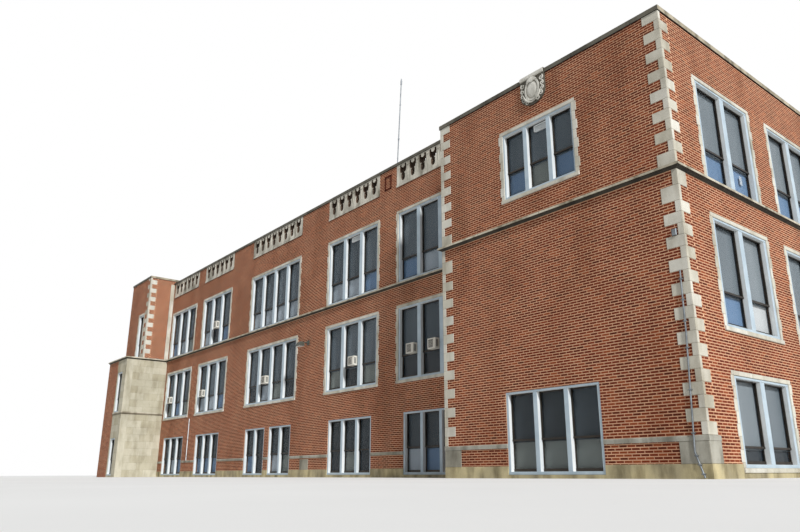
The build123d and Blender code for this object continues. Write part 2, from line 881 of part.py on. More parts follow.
def build_pavilion():
    """The strip of the pavilion next to the range: stone below, brick above, party wall at its end."""
    t = wall_thickness
    porch = porch_projection
    brick_width = pavilion_width - porch_stone_width
    porch_brick = porch_front.put(block(0, brick_width, 0, t, 0, string_bottom))
    porch_stone = porch_front.put(block(brick_width, pavilion_width, 0, t, 0, string_bottom))
    add("pavilion_stone_front", cut_windows(porch_stone, porch_front))
    add("pavilion_stone_side", porch_side.put(block(t, porch_side.length + t, 0, t, 0, string_bottom)))
    upper = pavilion_front.put(block(0, pavilion_width, 0, t, string_top, pavilion_wall_top))
    upper = cut_windows(upper, pavilion_front) - pavilion_corner(0.0)
    add("pavilion_brick_front", porch_brick, upper)
    side = pavilion_side.put(block(t, range_setback + t, 0, t, string_top, pavilion_wall_top))
    add("pavilion_brick_side", side - junction_strip(0.0))
    parapet = block(range_setback + t, pavilion_side.length, 0, t, roof_level, pavilion_wall_top)
    add("pavilion_side_parapet", pavilion_side.put(parapet))
    add("pavilion_quoins", pavilion_corner(stone_proud), junction_strip(strip_proud))
    ledge = block(left_end, range_left, -porch, t, string_bottom, string_top)
    ledge += block(range_left - t, range_left, t, range_setback + t, string_bottom, string_top)
    ledge += course_run(porch_front, string_profile(), 0, pavilion_width, 0, outer)
    ledge += course_run(porch_side, string_profile(), 0, porch_side.length - mortar_joint / 2, outer, inner)
    add("pavilion_ledge", ledge)
    rear_y = range_back - t
    party = block(left_end, left_end + t, t - porch, rear_y, 0, string_bottom)
    party += block(left_end, left_end + t, t, rear_y, string_bottom, pavilion_wall_top)
    add("party_wall", party)
    moulding = [
        (0, pavilion_moulding_bottom),
        (-moulding_foot_proud, pavilion_moulding_bottom),
        (-moulding_proud, pavilion_moulding_top - moulding_face),
        (-moulding_proud, pavilion_moulding_top),
        (0, pavilion_moulding_top),
    ]
    front = course_run(porch_front, moulding, brick_width, pavilion_width, 0, outer, mortar_joint)
    add("pavilion_ledge", front)
    add("pavilion_ledge", course_run(porch_side, moulding, 0, porch_side.length, outer, 0, mortar_joint))


def build_coolers():
    """Window air conditioners, each in one light with most of its case outside."""
    centres = bay_centres()
    back = frame_setback + frame_depth
    floors = ((second_floor_coolers, range_second_window), (third_floor_coolers, range_third_window))
    for places, window_kind in floors:
        for bay, light in places:
            kind = window_kind(range_lights[bay])
            left = centres[bay] - kind.frame_width / 2 + kind.side_bar
            right = left + light * (kind.light + kind.mullion) + kind.light - cooler_to_jamb
            low = kind.frame_bottom + cooler_above_frame
            case = block(right - cooler_width, right, back - cooler_reach, back, low, low + cooler_height)
            add("air_conditioners", range_front.put(case))


def build_mast():
    """Pole on a foot plate on the range's roof, behind the parapet."""
    u = bay_centres()[4] - bay_widths[4] / 2 - mast_past_bay
    half = mast_foot_size / 2
    depth = parapet_thickness + mast_to_parapet + half
    top = roof_level + mast_foot_height
    foot = block(u - half, u + half, depth - half, depth + half, roof_level, top)
    base = (Align.CENTER, Align.CENTER, Align.MIN)
    start = roof_level + mast_foot_height / 2
    pole = Pos(u, depth, start) * Rot(0, mast_lean, 0) * Cylinder(mast_radius, mast_height, align=base)
    add("roof_mast", range_front.put(foot + pole))


def build_floodlight():
    """Lamp with a hood on a bracket arm, between the second and third bay from the wing."""
    u = fitting_pier_centre() - lamp_offset
    size = lamp_arm_size / 2
    plate = lamp_plate / 2
    under = lamp_level - size
    hood = [
        (-lamp_arm_reach - lamp_depth / 2, under - lamp_height),
        (-lamp_arm_reach + lamp_depth / 2, under - lamp_height),
        (-lamp_arm_reach + lamp_top_depth / 2, under),
        (-lamp_arm_reach - lamp_top_depth / 2, under),
    ]
    lamp = block(u - plate, u + plate, -lamp_plate_thickness, 0, lamp_level - plate, lamp_level + plate)
    lamp += block(u - size, u + size, -lamp_arm_reach - size, -lamp_plate_thickness, under, lamp_level + size)
    hood_face = Plane.YZ * make_face(Polyline(*hood, close=True))
    lamp += Pos(u - lamp_width / 2, 0, 0) * extrude(hood_face, lamp_width)
    add("floodlight", range_front.put(lamp))


place_windows()
build_walls()
build_parapet()
build_courses()
build_copings()
build_cartouche()
build_floors()
build_pavilion()
build_coolers()
build_mast()
build_floodlight()
window_nodes = (
    ("wing_front", wing_front), ("wing_right", wing_right), ("range_front", range_front),
    ("range_front", porch_front), ("range_front", pavilion_front),
    ("back", wing_rear), ("back", range_rear),
)
for name, facade in window_nodes:
    add_windows(facade, f"{name}_frames", f"{name}_glass", f"{name}_surrounds")

os.makedirs("parts", exist_ok=True)
for name, solids in nodes.items():
    piece = Pos(-origin_x, -origin_y, 0) * Compound(children=[Solid(solid.wrapped) for solid in solids])
    export_step(piece, f"parts/{name}.step")
print(len(nodes), "pieces,", sum(len(solids) for solids in nodes.values()), "solids")
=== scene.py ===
# %% [markdown]
# A three-storey brick school with limestone dressings, dressed around a packed
# CAD model. The model gives every wall, stone and frame at its real size, and
# the cells below lay the bricks, cut the stones and hang the sashes on it.

# %% Load the frame
import json
import math
import random

import bpy
from mathutils import Matrix, Vector


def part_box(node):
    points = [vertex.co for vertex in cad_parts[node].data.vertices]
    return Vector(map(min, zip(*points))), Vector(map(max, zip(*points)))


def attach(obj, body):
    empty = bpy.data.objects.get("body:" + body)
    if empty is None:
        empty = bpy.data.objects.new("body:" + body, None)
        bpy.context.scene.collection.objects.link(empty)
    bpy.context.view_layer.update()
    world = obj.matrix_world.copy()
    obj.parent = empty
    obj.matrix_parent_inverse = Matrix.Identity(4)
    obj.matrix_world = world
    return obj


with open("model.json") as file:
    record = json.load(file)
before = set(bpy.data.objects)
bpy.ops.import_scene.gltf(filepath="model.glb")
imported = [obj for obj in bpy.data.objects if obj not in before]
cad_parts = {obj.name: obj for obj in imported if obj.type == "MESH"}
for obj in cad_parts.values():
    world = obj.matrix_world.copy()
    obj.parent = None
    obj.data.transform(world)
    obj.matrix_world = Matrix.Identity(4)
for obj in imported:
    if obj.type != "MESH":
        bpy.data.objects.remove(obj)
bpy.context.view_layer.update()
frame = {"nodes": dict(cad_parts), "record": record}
nodes, scene = frame["nodes"], bpy.context.scene
print(len(nodes), "nodes loaded")

# %% [markdown]
# Colours are written as people write them, as sRGB hex, and one function turns
# them to the linear values that light is worked out in. A second small function
# adds a shader node with its settings and links. A few more lay down what every
# weathered wall needs: cloudy patches, glazes over a base colour, and a relief.

# %% Colour and node helpers


def colour(code):
    """Linear colour of an sRGB hex code."""
    parts = [int(code[i:i + 2], 16) / 255 for i in (1, 3, 5)]
    linear = [c / 12.92 if c <= 0.04045 else ((c + 0.055) / 1.055) ** 2.4 for c in parts]
    return (*linear, 1.0)


def add(tree, kind, settings=None, links=None):
    """Adds one shader node; settings name its inputs, its own options or the stops of its ramp."""
    node = tree.nodes.new("ShaderNode" + kind)
    for name, value in (settings or {}).items():
        if name == "stops":
            elements = node.color_ramp.elements
            elements.remove(elements[1])
            elements[0].position, elements[0].color = value[0][0], colour(value[0][1])
            for place, code in value[1:]:
                elements.new(place).color = colour(code)
        elif name == "interpolation":
            node.color_ramp.interpolation = value
        elif isinstance(name, int) or name in node.inputs:
            node.inputs[name].default_value = value
        else:
            setattr(node, name, value)
    for name, socket in (links or {}).items():
        tree.links.new(socket, node.inputs[name])
    return node


def cloud(tree, size, detail=4.0, stretch=(1, 1, 1)):
    """Noise whose largest patches are about size metres across."""
    place = add(tree, "TexCoord").outputs["Object"]
    scale = tuple(part / size for part in stretch)
    place = add(tree, "Mapping", {"Scale": scale}, {"Vector": place}).outputs["Vector"]
    return add(tree, "TexNoise", {"Scale": 1.0, "Detail": detail}, {"Vector": place}).outputs["Fac"]


def mottle(tree, size, stops, detail=4.0, stretch=(1, 1, 1)):
    """Cloudy colour from one stop to the next."""
    noise = cloud(tree, size, detail, stretch)
    return add(tree, "ValToRGB", {"stops": stops}, {"Fac": noise}).outputs["Color"]


def toned(tree, stops, interpolation="LINEAR"):
    """Colour that follows the number each brick, stone or pane carries."""
    tone = add(tree, "Attribute", {"attribute_name": "tone"}).outputs["Fac"]
    settings = {"stops": stops, "interpolation": interpolation}
    return add(tree, "ValToRGB", settings, {"Fac": tone}).outputs["Color"]


def coat(tree, shader, *layers):
    """Lays colours over what the shader already has, each multiplied in as a thin glaze."""
    socket = shader.inputs["Base Color"]
    for layer in layers:
        if socket.links:
            settings = {"data_type": "RGBA", "blend_type": "MULTIPLY", 0: 1.0}
            below = socket.links[0].from_socket
            layer = add(tree, "Mix", settings, {6: below, 7: layer}).outputs[2]
        tree.links.new(layer, socket)


def relief(tree, shader, size, depth):
    """Fine unevenness of the surface, with its size and depth in metres."""
    bump = add(tree, "Bump", {"Distance": depth}, {"Height": cloud(tree, size)})
    tree.links.new(bump.outputs["Normal"], shader.inputs["Normal"])


def finish(name, roughness, ior=1.5, metallic=0.0, sheen=0.5):
    """A finish without colour, whose plain numbers are set on the shader itself."""
    material = bpy.data.materials.new(name)
    material.use_nodes = True
    tree = material.node_tree
    shader = tree.nodes["Principled BSDF"]
    shader.inputs["Roughness"].default_value = roughness
    shader.inputs["Metallic"].default_value = metallic
    shader.inputs["Specular IOR Level"].default_value = sheen
    if not metallic:
        shader.inputs["IOR"].default_value = ior
    return material, tree, shader


def place_object(name, data):
    """A new object of the scene."""
    made = bpy.data.objects.new(name, data)
    scene.collection.objects.link(made)
    return made


print("helpers ready")

# %% [markdown]
# The bricks are kiln-fired clay: rough, matt, and never two alike. Each brick
# carries its own number between 0 and 1, and a ramp turns it into one of the
# reds and burnt browns of the firing. The mortar is a wide lime joint, pale and
# slightly pink from the brick dust. Rain draws darker streaks down both. Pores
# break up the reflection, so both keep only a part of the usual sheen.

# %% Brick and mortar
porous_sheen = 0.2


def rain_streaks(tree):
    """Darker, upright patches a metre or so wide, that run down several courses."""
    return mottle(tree, 1.3, [(0.3, "#E4DFDB"), (0.52, "#FFFFFF")], 5.0, (1, 1, 0.35))


def brick_finish():
    material, tree, shader = finish("kiln_fired_brick", 0.9, sheen=porous_sheen)
    clay = toned(tree, [(0.0, "#552313"), (0.08, "#622814"), (0.35, "#6E2C16"), (0.65, "#79341C"),
                        (0.85, "#874024"), (0.97, "#98502F"), (1.0, "#5E2817")])
    grain = mottle(tree, 0.03, [(0.25, "#D2CAC6"), (0.7, "#FFFFFF")])
    coat(tree, shader, clay, rain_streaks(tree), grain)
    relief(tree, shader, 0.02, 0.002)
    return material


def mortar_finish():
    material, tree, shader = finish("lime_mortar", 0.95, sheen=porous_sheen)
    base = mottle(tree, 0.9, [(0.3, "#D0A282"), (0.7, "#E0B491")])
    grit = mottle(tree, 0.012, [(0.3, "#D6CFCB"), (0.6, "#FFFFFF")])
    coat(tree, shader, base, rain_streaks(tree), grit)
    relief(tree, shader, 0.01, 0.001)
    return material


brick = brick_finish()
mortar = mortar_finish()
print("brick and mortar ready")

# %% [markdown]
# The dressings are sawn limestone: buff and fine-grained, each stone a little different. The string
# course and the copings stand out from the wall, and their version of the stone looks at which way
# a face points and paints shade into its colour: dark on the undersides, and on the copings darker
# on every side but the sunlit right-hand one. It also draws its own mortar lines, 6 mm wide at
# every stone's length, because those stones are long runs. The pierced panels and the carving get
# painted shade in their openings and hollows.

# %% Stone
stone_roughness = 0.82
stone_line, line_colour = 0.006, "#6A655C"


def limestone_finish(name, pale, dark, soot_and_painted_shade):
    """Limestone: cloudy, streaked by rain, and finely pored."""
    material, tree, shader = finish(name, stone_roughness)
    stone = toned(tree, [(0.0, "#FFFFFF"), (1.0, "#E6E3DA")])
    base = mottle(tree, 0.8, [(0.32, dark), (0.62, pale)])
    streak = mottle(tree, 0.35, [(0.28, soot_and_painted_shade), (0.55, "#FFFFFF")], 6.0, (1, 1, 0.3))
    pore = mottle(tree, 0.012, [(0.3, "#E2DFD8"), (0.55, "#FFFFFF")])
    coat(tree, shader, base, stone, streak, pore)
    relief(tree, shader, 0.01, 0.001)
    return material, tree, shader


def jutting_stone_painted_shade_finish(name, pale, dark, soot_and_painted_shade, painted_underside_shade, stone_length, painted_shade_side="#FFFFFF"):
    """Stone that juts out, with mortar lines along its run and painted shade: dark on the faces
    that point down, and, when a side colour is given, darker on every side but the right-hand one,
    which faces the sun.
    """
    material, tree, shader = limestone_finish(name, pale, dark, soot_and_painted_shade)
    normal = add(tree, "SeparateXYZ", links={0: add(tree, "NewGeometry").outputs["Normal"]}).outputs
    place = add(tree, "SeparateXYZ", links={0: add(tree, "TexCoord").outputs["Object"]}).outputs
    settings = {"operation": "MULTIPLY_ADD", 1: 0.5, 2: 0.5}
    upward = add(tree, "Math", settings, {0: normal["Z"]}).outputs[0]
    # Faces that point down get the dark colour and upright faces a slight grey: painted shade.
    stops = [(0.2, painted_underside_shade), (0.42, "#B5AE9F"), (0.5, "#F1EDE4"), (0.8, "#FFFFFF")]
    painted_facing_shade = add(tree, "ValToRGB", {"stops": stops}, {"Fac": upward}).outputs["Color"]
    sideways = add(tree, "Math", {"operation": "ABSOLUTE"}, {0: normal["X"]}).outputs[0]
    on_side = add(tree, "Math", {"operation": "GREATER_THAN", 1: 0.7}, {0: sideways}).outputs[0]
    along = add(tree, "Mix", {}, {0: on_side, 2: place["X"], 3: place["Y"]}).outputs[0]
    turns = add(tree, "Math", {"operation": "DIVIDE", 1: stone_length}, {0: along}).outputs[0]
    share = add(tree, "Math", {"operation": "FRACT"}, {0: turns}).outputs[0]
    width = stone_line / stone_length
    stops = [(0.0, line_colour), (width, line_colour), (width * 1.5, "#FFFFFF")]
    line = add(tree, "ValToRGB", {"stops": stops}, {"Fac": share}).outputs["Color"]
    # Every side but the sunlit right-hand one gets the given colour: painted shade.
    stops = [(0.8, painted_shade_side), (0.95, "#FFFFFF")]
    painted_side_shade = add(tree, "ValToRGB", {"stops": stops}, {"Fac": normal["X"]}).outputs["Color"]
    coat(tree, shader, painted_facing_shade, line, painted_side_shade)
    return material


def pierced_stone_finish():
    """Carved stone whose cut sides, inside the openings, are darkened with painted shade."""
    material, tree, shader = limestone_finish("pierced_limestone", "#DAD6C9", "#B1ADA1", "#8D897E")
    normal = add(tree, "SeparateXYZ", links={0: add(tree, "NewGeometry").outputs["Normal"]}).outputs
    frontal = add(tree, "Math", {"operation": "ABSOLUTE"}, {0: normal["Y"]}).outputs[0]
    # Sides that face neither front nor back turn dark brown: painted shade inside the openings.
    stops = [(0.3, "#6B5546"), (0.8, "#FFFFFF")]
    soot_and_painted_shade = add(tree, "ValToRGB", {"stops": stops}, {"Fac": frontal}).outputs["Color"]
    coat(tree, shader, soot_and_painted_shade)
    return material


def hollow_shaded_carving_finish(hollow, crest):
    """Carved stone with painted shade in its hollows, darker the nearer a point lies to the stone
    behind; both values are places on the Y axis, in metres.
    """
    material, tree, shader = limestone_finish(
        "carved_limestone_painted_hollow_shade", "#E2E0D8", "#C9C7BE", "#A5A39B")
    place = add(tree, "SeparateXYZ", links={0: add(tree, "TexCoord").outputs["Object"]}).outputs
    settings = {"From Min": hollow, "From Max": crest}
    height = add(tree, "MapRange", settings, {"Value": place["Y"]}).outputs[0]
    # Points near the backing plane turn dark: painted shade in the hollows of the carving.
    stops = [(0.0, "#5E5A52"), (0.45, "#A8A59D"), (0.9, "#FFFFFF")]
    soot_and_painted_shade = add(tree, "ValToRGB", {"stops": stops}, {"Fac": height}).outputs["Color"]
    coat(tree, shader, soot_and_painted_shade)
    return material


pierced_stone = pierced_stone_finish()
limestone = limestone_finish("sawn_limestone", "#DCDAD0", "#CBC8BE", "#D2CFC8")[0]
ashlar = limestone_finish("coursed_ashlar", "#C6C1AE", "#B7B29F", "#D9D6CE")[0]
splashed_stone = limestone_finish("rain_splashed_limestone", "#B0AEA3", "#8C8A80", "#9C998F")[0]
carved_stone = limestone_finish("carved_limestone", "#DDD9CC", "#B4B0A4", "#8D897E")[0]
# The string course's dark undersides are painted shade.
string_stone = jutting_stone_painted_shade_finish(
    "moulded_limestone", "#D8D4C8", "#B6B1A3", "#9A9486", "#4A463E", 1.2)
# The copings are darker on the undersides and on every side away from the sun: painted shade.
coping_stone = jutting_stone_painted_shade_finish(
    "coping_painted_shade", "#BDB6A6", "#96907F", "#8F8C82", "#3A3833", 0.9, "#94979A")
front_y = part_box("wing_front_wall")[0].y
hollow_shaded_stone = hollow_shaded_carving_finish(front_y - 0.053, front_y - 0.078)
base_stone = limestone_finish("cast_base_stone", "#C4B78F", "#968D72", "#8F8976")[0]
cement_render = limestone_finish("cement_render", "#A89F92", "#978E82", "#C9C5BE")[0]
joint_mortar = limestone_finish("raked_stone_joint", "#99917F", "#827B6B", "#8A8478")[0]
print("stone ready")

# %% [markdown]
# The windows are later than the walls: deep steel boxes in white enamel, and dark bronze sashes set
# far back in them. The glass is thin, so light passes it without bending, which a low alpha gives
# with little noise. Behind it hang grey roller shades, and below them blinds, papers, sheets with a
# painted reflection of the sky, and sheets in the painted shade of unlit rooms. The blue-grey cover
# strips on the boxes' fronts are painted shade of the white enamel.

# %% Paint, metal, glass, shades and roofing


def even_finish(name, pale, dark, size, roughness, metallic=0.0, depth=0.0004):
    """A made surface whose colour drifts only a little."""
    material, tree, shader = finish(name, roughness, metallic=metallic)
    coat(tree, shader, mottle(tree, size, [(0.3, dark), (0.68, pale)]))
    relief(tree, shader, size / 15, depth)
    return material


def toned_finish(name, stops, roughness, interpolation="LINEAR"):
    """A surface whose colour comes from the number that each pane carries."""
    material, tree, shader = finish(name, roughness)
    fade = mottle(tree, 1.1, [(0.3, "#D4D8DA"), (0.7, "#FFFFFF")], 2.0, (1, 1, 0.2))
    coat(tree, shader, toned(tree, stops, interpolation), fade)
    relief(tree, shader, 0.4, 0.002)
    return material


def glass_finish():
    material, tree, shader = finish("drawn_sheet_glass", 0.05, 1.52)
    coat(tree, shader, mottle(tree, 1.5, [(0.3, "#2C343C"), (0.7, "#36404A")]))
    shader.inputs["Alpha"].default_value = 0.15
    return material


# The blue-grey of the frames' front cover strips is painted shade of the white enamel.
cover_strip_painted_shade = even_finish("blue_grey_painted_shade_cover", "#B4C3CC", "#9FB0BB", 0.4, 0.5)
white_enamel = even_finish("white_enamelled_steel", "#E2E5E4", "#D0D6D8", 0.5, 0.4)
bronze = even_finish("bronze_anodised_sash", "#3B342D", "#2A2622", 0.3, 0.5, 0.6)
glass = glass_finish()
shade_stops = [(0.0, "#2E3537"), (0.3, "#5C6870"), (0.5, "#727F88"), (1.0, "#9FA9AE")]
shade_cloth = toned_finish("roller_shade_cloth", shade_stops, 0.85)
# The blue and pale blue backings are a painted reflection of the sky in the lower panes, and the
# near-black one is the painted shade of an unlit room.
painted_sky_reflection, painted_pale_sky_reflection, grey_blind, white_board, painted_room_shade = 0.1, 0.3, 0.5, 0.7, 0.9
back_stops = [(0.0, "#84A8D0"), (0.2, "#D6E3EE"), (0.4, "#9CA49E"), (0.6, "#EEF2F2"),
              (0.8, "#363C40")]
pane_backs = toned_finish("blinds_papers_painted_sky_and_room_shade", back_stops, 0.8, "CONSTANT")
concrete = even_finish("trowelled_concrete", "#A7A49D", "#8F8C86", 1.2, 0.9)
roofing = even_finish("gravelled_roofing", "#77746F", "#4F4D4A", 0.25, 0.95, depth=0.006)
cooler_case = even_finish("enamelled_cooler_case", "#DDDACF", "#C8C4B8", 0.4, 0.5)
cooler_shadow = even_finish("unlit_cooler_grille", "#3A3936", "#2B2A28", 0.1, 0.8)
galvanised = even_finish("galvanised_steel", "#868B8F", "#63686C", 0.15, 0.5, 0.9)
hood_paint = even_finish("weathered_hood_paint", "#4B4D43", "#383933", 0.1, 0.6)
lamp_glass = even_finish("frosted_lamp_glass", "#E6E8E4", "#CDD0CC", 0.1, 0.3)
print("paint, metal, glass and roofing ready")

# %% [markdown]
# The model's own nodes come without looks. Each takes the finish of its slot, but some have their
# own: the string course, copings, cartouche and pierced panels carry painted shade, and the base a
# darker, rain-splashed stone.

# %% Finishes of the model's own nodes
finishes = {
    "brick": mortar, "limestone": limestone, "window_frame": white_enamel, "window_glass": glass,
    "concrete": concrete, "roofing": roofing, "cooler_case": cooler_case, "mast": galvanised,
}
special = {
    "string_course": string_stone, "pavilion_ledge": string_stone, "wing_coping": coping_stone,
    "range_coping": coping_stone, "pavilion_coping": coping_stone, "plinth": base_stone,
    "cartouche": hollow_shaded_stone, "base_blocks": splashed_stone, "band_course": splashed_stone,
    "floodlight": hood_paint, "party_wall": cement_render,
    "pavilion_stone_front": ashlar, "pavilion_stone_side": ashlar,
}
special.update({f"parapet_panel_{number}": pierced_stone for number in range(1, 6)})
slots = {part["node"]: part["material_slot"] for part in frame["record"]["subparts"]}
for name, node in nodes.items():
    node.data.materials.clear()
    node.data.materials.append(special.get(name, finishes[slots[name]]))
print(len(finishes), "finishes on", len(nodes), "nodes")

# %% [markdown]
# Everything is placed on a facade: u runs along it to the right as seen from
# outside, z is up, and out is the distance in front of the wall face. Blocks is
# the one way in which bricks, stones and bars are made here: a block of five
# faces whose back is against the wall, with a small chamfer where stone has one.

# %% Facades and blocks


def shrunk(span, margin):
    """A span made shorter at both of its ends."""
    return span[0] + margin, span[1] - margin


def both_ends(span, width):
    """The two bars of one width at the ends of a span."""
    return [(span[0], span[0] + width), (span[1] - width, span[1])]


class Facade:
    """One outer wall face, from its left-hand corner as seen from outside."""

    def __init__(self, x, y, along, length):
        self.corner = Vector((x, y, 0))
        self.along, self.outward = along, Vector((along.y, -along.x, 0))
        self.length = length

    def point(self, u, out, z):
        return self.corner + self.along * u + self.outward * out + Vector((0, 0, z))

    def local(self, place):
        """u, out and z of a point."""
        offset = Vector(place) - self.corner
        return offset.dot(self.along), offset.dot(self.outward), place[2]


class Blocks:
    """Many blocks in one piece, each with a tone that its material can read."""

    def __init__(self):
        self.verts, self.faces, self.tones = [], [], []

    def ring(self, facade, u, z, out, tone):
        """Four corners; returns the number of the first."""
        for corner in ((u[0], z[0]), (u[1], z[0]), (u[1], z[1]), (u[0], z[1])):
            self.verts.append(facade.point(corner[0], out, corner[1]))
            self.tones.append(tone)
        return len(self.verts) - 4

    def sheet(self, facade, u, z, out, tone=0.0):
        """A flat sheet that faces outwards."""
        n = self.ring(facade, u, z, out, tone)
        self.faces.append((n, n + 1, n + 2, n + 3))

    def lay(self, facade, u, z, out, tone=0.0, chamfer=0.0):
        """A block over ranges of u, z and out, open at its back."""
        rings = [self.ring(facade, u, z, out[0], tone)]
        if chamfer:
            rings.append(self.ring(facade, u, z, out[1] - chamfer, tone))
        for n in rings:
            for i in range(4):
                j = (i + 1) % 4
                self.faces.append((n + i, n + j, n + 4 + j, n + 4 + i))
        self.sheet(facade, shrunk(u, chamfer), shrunk(z, chamfer), out[1], tone)

    def piece(self, name, material, slot):
        """Turns the blocks into one mesh that rides with the building."""
        mesh = bpy.data.meshes.new(name)
        mesh.from_pydata(self.verts, [], self.faces)
        mesh.attributes.new("tone", "FLOAT", "POINT").data.foreach_set("value", self.tones)
        mesh.materials.append(material)
        made = place_object(name, mesh)
        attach(made, "root")
        print(name, len(self.faces), "faces")


(left_x, wing_front_y, _), (right_x, _, _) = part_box("wing_front_wall")
back_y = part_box("wing_back_wall")[1].y
range_left_x, range_front_y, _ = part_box("range_front_wall")[0]
range_back_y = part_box("range_back_wall")[1].y
party_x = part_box("party_wall")[0].x
porch_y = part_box("pavilion_stone_front")[0].y
wing_width, wing_depth = right_x - left_x, back_y - wing_front_y
range_width, pavilion_width = left_x - range_left_x, range_left_x - party_x
east, north = Vector((1, 0, 0)), Vector((0, 1, 0))
west, south = -east, -north
facades = {
    "wing_front": Facade(left_x, wing_front_y, east, wing_width),
    "wing_right": Facade(right_x, wing_front_y, north, wing_depth),
    "wing_back": Facade(right_x, back_y, west, wing_width),
    "wing_left": Facade(left_x, back_y, south, wing_depth),
    "range_front": Facade(range_left_x, range_front_y, east, range_width),
    "range_back": Facade(left_x, range_back_y, west, range_width + pavilion_width),
    "pavilion_front": Facade(party_x, wing_front_y, east, pavilion_width),
    "pavilion_side": Facade(range_left_x, wing_front_y, north, range_front_y - porch_y),
    "porch_front": Facade(party_x, porch_y, east, pavilion_width),
}
wing_front, range_front = facades["wing_front"], facades["range_front"]
print(len(facades), "facades")

# %% [markdown]
# The model's meshes already know where everything is, so nothing is measured
# twice. A wall face's upright edges are the ends of its brickwork, and each
# separate solid of the frame nodes is one window. These helpers read both.

# %% Reading the model


def upright_edges(node, facade, out=0.0):
    """(u, low, high, side) of each upright edge of a face; side is -1 at a left-hand edge."""
    mesh = nodes[node].data
    found = set()
    for polygon in mesh.polygons:
        side = polygon.normal.dot(facade.along)
        if abs(side) < 0.9:
            continue
        corners = [facade.local(mesh.vertices[v].co) for v in polygon.vertices]
        for first, second in zip(corners, corners[1:] + corners[:1]):
            on_face = abs(first[1] - out) < 0.002 and abs(second[1] - out) < 0.002
            if on_face and abs(first[2] - second[2]) > 0.005:
                levels = sorted((round(first[2], 4), round(second[2], 4)))
                found.add((round(first[0], 3), *levels, -1 if side < 0 else 1))
    return sorted(found)


def stretches(edges, z):
    """Stretches of a face at one height, each between a left-hand and a right-hand edge."""
    ends = [(u, side) for u, low_z, high_z, side in edges if low_z < z < high_z]
    runs = []
    start = None
    for u, side in sorted(ends):
        if side < 0:
            start = u
        elif start is not None:
            runs.append((start, u))
            start = None
    return runs


def u_span(facade, node):
    """Where a node begins and ends along a facade."""
    return [facade.local(corner)[0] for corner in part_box(node)]


def solids_of(node):
    """Corner points of each separate solid of a node."""
    mesh = nodes[node].data
    keys = [tuple(round(c, 3) for c in vertex.co) for vertex in mesh.vertices]
    owner = {key: key for key in keys}

    def root(key):
        while owner[key] != key:
            owner[key] = owner[owner[key]]
            key = owner[key]
        return key

    for polygon in mesh.polygons:
        first = root(keys[polygon.vertices[0]])
        for v in polygon.vertices[1:]:
            owner[root(keys[v])] = first
    groups = {}
    for key in owner:
        groups.setdefault(root(key), []).append(key)
    return list(groups.values())


def steps_of(values):
    """Sorted distinct values, to the millimetre."""
    return sorted({round(value, 3) for value in values})


def placed_solids(node, front):
    """Facade, and distinct u and z, of each solid of a node whose front stands out so far."""
    for points in solids_of(node):
        for name, facade in facades.items():
            us, outs, zs = zip(*(facade.local(point) for point in points))
            beside = min(us) < -1.0 or max(us) > facade.length + 0.1
            if abs(max(outs) - front) < 0.003 and min(outs) > -0.5 and not beside:
                yield name, steps_of(us), steps_of(zs)
                break


frame_face, jamb_face, sill_face = -0.02, 0.01, 0.04
windows, surrounds = [], []
for side in ("wing_front", "wing_right", "range_front", "back"):
    windows += placed_solids(side + "_frames", frame_face)
    for face in (jamb_face, sill_face):
        for solid in placed_solids(side + "_surrounds", face):
            surrounds.append((*solid, face == sill_face))
print(len(windows), "windows,", len(surrounds), "stone surrounds")

# %% [markdown]
# Masons set out a wall in courses, and four brick courses make one corner
# stone. So the stones' joints and the brick rows are one grid. It starts at the
# band course, and again at the first joint above the string course.

# %% The course grid
course = 0.06985
stone_height = 4 * course
band_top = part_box("band_course")[1].z
string_low, string_high = (corner.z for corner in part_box("string_course"))
corner_edges = upright_edges("wing_quoins", wing_front, jamb_face)
upper_start = min(low_z for _, low_z, _, _ in corner_edges if low_z > string_high + course)
wall_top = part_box("pavilion_side_parapet")[1].z


def grid(step):
    """Levels of the grid, step metres apart, in the two storeys' zones."""
    below = int(band_top // step) + 1
    above = int((string_low - band_top) // step) + 1
    lower = [band_top + step * i for i in range(-below, above)]
    below = int((upper_start - string_high) // step) + 1
    above = int((wall_top - upper_start) // step) + 1
    return lower + [upper_start + step * i for i in range(-below, above)]


brick_rows, stone_joints = grid(course), grid(stone_height)
print(len(brick_rows), "brick rows,", len(stone_joints), "stone joints")

# %% [markdown]
# Round each upper window the jamb stones are long and short in turn, so that
# they bond into the brickwork. The head and sill are long stones. Each stone is
# laid 4 mm in front of the model's own surround, with a raked joint between.

# %% Window stones
bed_lift, stone_lift, sill_back = 0.0006, 0.004, 0.02
stone_gap, stone_chamfer = 0.003, 0.004
tooth, thinnest_stone, long_stone = 0.045, 0.08, 1.2
dice = random.Random(1923)
window_stones, stone_bed = Blocks(), Blocks()
teeth = {name: [] for name in facades}


def split(start, end, length):
    """Ends of equal stones of about one length."""
    count = max(1, round((end - start) / length))
    return [start + (end - start) * i / count for i in range(count + 1)]


def lay_stone(blocks, facade, u, z, back, front):
    u, z = shrunk(u, stone_gap), shrunk(z, stone_gap)
    blocks.lay(facade, u, z, (back, front), dice.random(), stone_chamfer)


